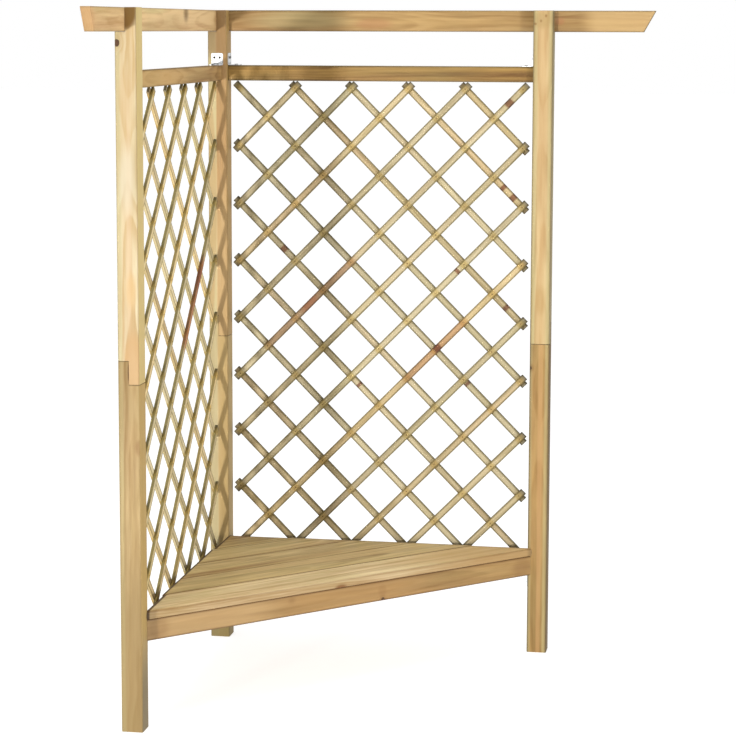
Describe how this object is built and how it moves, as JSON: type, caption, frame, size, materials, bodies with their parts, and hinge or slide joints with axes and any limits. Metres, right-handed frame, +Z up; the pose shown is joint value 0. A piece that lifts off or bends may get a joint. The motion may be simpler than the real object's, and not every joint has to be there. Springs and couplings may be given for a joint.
{
  "type": "corner arbour seat",
  "caption": "Corner garden arbour seat in softwood: spliced posts, diagonal trellis backs, slant-ended top beams and a triangular board bench.",
  "frame": {"origin": "centre of the corner post's foot, on the ground", "axes": "+Z up; +X from the corner post along the right side to the right front post; -Y from the corner post along the left side to the left front post"},
  "size_m": [1.3668, 1.3668, 1.97],
  "materials": {
    "post_pine": "planed treated softwood",
    "beam_pine": "planed treated softwood",
    "rail_pine": "planed treated softwood",
    "front_board_pine": "planed treated softwood, pale",
    "seat_board_pine": "planed treated softwood, brown",
    "trellis_slat": "sawn treated softwood, greenish",
    "zinc_plate": "bright zinc plating"
  },
  "bodies": {
    "root": {"corner_post_lower": "post_pine", "corner_post_upper": "post_pine", "left_post_lower": "post_pine", "left_post_upper": "post_pine", "right_post_lower": "post_pine", "right_post_upper": "post_pine", "left_top_beam": "beam_pine", "right_top_beam": "beam_pine", "left_trellis_rail": "rail_pine", "right_trellis_rail": "rail_pine", "left_trellis_panel": "trellis_slat", "right_trellis_panel": "trellis_slat", "left_bench_rail": "rail_pine", "right_bench_rail": "rail_pine", "bench_apron": "rail_pine", "bench_centre_bearer": "rail_pine", "seat_board_1": "front_board_pine", "seat_board_2": "seat_board_pine", "seat_board_3": "seat_board_pine", "seat_board_4": "seat_board_pine", "seat_board_5": "seat_board_pine", "left_trellis_rail_bracket_corner": "zinc_plate", "left_trellis_rail_bracket_front": "zinc_plate", "left_bench_rail_bracket_corner": "zinc_plate", "left_bench_rail_bracket_front": "zinc_plate", "right_trellis_rail_bracket_corner": "zinc_plate", "right_trellis_rail_bracket_front": "zinc_plate", "right_bench_rail_bracket_corner": "zinc_plate", "right_bench_rail_bracket_front": "zinc_plate"}
  },
  "joints": []
}
